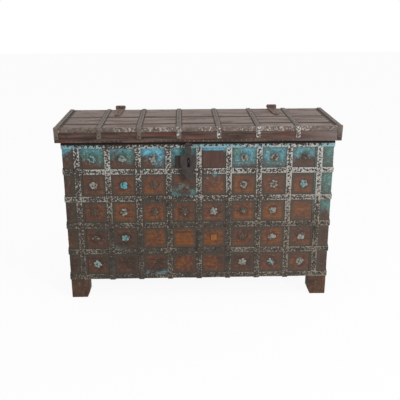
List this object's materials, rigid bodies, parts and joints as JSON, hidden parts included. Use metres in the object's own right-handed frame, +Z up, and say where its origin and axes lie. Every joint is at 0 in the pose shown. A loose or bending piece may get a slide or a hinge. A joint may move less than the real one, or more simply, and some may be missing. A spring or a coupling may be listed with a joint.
{
  "type": "console chest",
  "caption": "Iron-bound wooden storage chest on post feet, with a strap grid and flower studs on its front, an overhanging hinged lid and a swinging hasp.",
  "frame": {"origin": "on the floor, under the middle of the chest's box", "axes": "+X along the front to the viewer's right, +Y from the front to the back, +Z up"},
  "size_m": [1.224, 0.4626, 0.8221],
  "materials": {
    "carcass_wood": "dark brown, worn and dry",
    "panel_wood": "brown planks with remains of turquoise and orange paint",
    "patch_wood": "plain brown",
    "lid_wood": "weathered grey-brown",
    "strap_iron": "wrought iron with remains of white paint",
    "stud_iron": "wrought iron with remains of white and turquoise paint",
    "lid_iron": "dark wrought iron",
    "forged_iron": "dark forged iron"
  },
  "bodies": {
    "chest": {"back_board_lower": "carcass_wood", "back_board_middle": "carcass_wood", "back_board_upper": "carcass_wood", "floor_bearer_left": "carcass_wood", "floor_bearer_right": "carcass_wood", "floor_boards": "carcass_wood", "flower_studs": "stud_iron", "front_board_lower": "panel_wood", "front_board_middle": "panel_wood", "front_board_upper": "panel_wood", "front_left_post": "carcass_wood", "front_right_post": "carcass_wood", "hasp_staple": "forged_iron", "hinge_leaf_left": "forged_iron", "hinge_leaf_right": "forged_iron", "hinge_pin_left": "forged_iron", "hinge_pin_right": "forged_iron", "iron_band_1": "strap_iron", "iron_band_2": "strap_iron", "iron_band_3": "strap_iron", "iron_band_4": "strap_iron", "iron_band_5": "strap_iron", "iron_band_6": "strap_iron", "iron_upright_1": "strap_iron", "iron_upright_2": "strap_iron", "iron_upright_3": "strap_iron", "iron_upright_4": "strap_iron", "iron_upright_5": "strap_iron", "iron_upright_6": "strap_iron", "iron_upright_7": "strap_iron", "iron_upright_8": "strap_iron", "iron_upright_9": "strap_iron", "left_end_board_lower": "carcass_wood", "left_end_board_middle": "carcass_wood", "left_end_board_upper": "carcass_wood", "left_end_uprights": "strap_iron", "lock_plate": "forged_iron", "rear_left_post": "carcass_wood", "rear_right_post": "carcass_wood", "repair_patch": "patch_wood", "right_end_board_lower": "carcass_wood", "right_end_board_middle": "carcass_wood", "right_end_board_upper": "carcass_wood", "right_end_uprights": "strap_iron", "stud_peg": "patch_wood"},
    "lid": {"hasp_eye": "forged_iron", "hasp_pin": "forged_iron", "hinge_strap_left": "forged_iron", "hinge_strap_right": "forged_iron", "lid_batten_left": "lid_wood", "lid_batten_right": "lid_wood", "lid_edge_angle": "lid_iron", "lid_end_board_left": "lid_wood", "lid_end_board_right": "lid_wood", "lid_front_board": "lid_wood", "lid_plank_front": "lid_wood", "lid_plank_middle": "lid_wood", "lid_plank_rear": "lid_wood", "lid_straps": "lid_iron"},
    "hasp": {"hasp": "forged_iron"}
  },
  "joints": [
    {"name": "lid_hinge", "type": "hinge", "parent": "chest", "child": "lid", "pos_m": [0, 0.22225, 0.81305], "axis": [-1, 0, 0], "range_deg": [0, 105]},
    {"name": "hasp_swing", "type": "hinge", "parent": "lid", "child": "hasp", "pos_m": [-0.04537, -0.2218, 0.732], "axis": [-1, 0, 0], "range_deg": [-8.2, 105]}
  ]
}
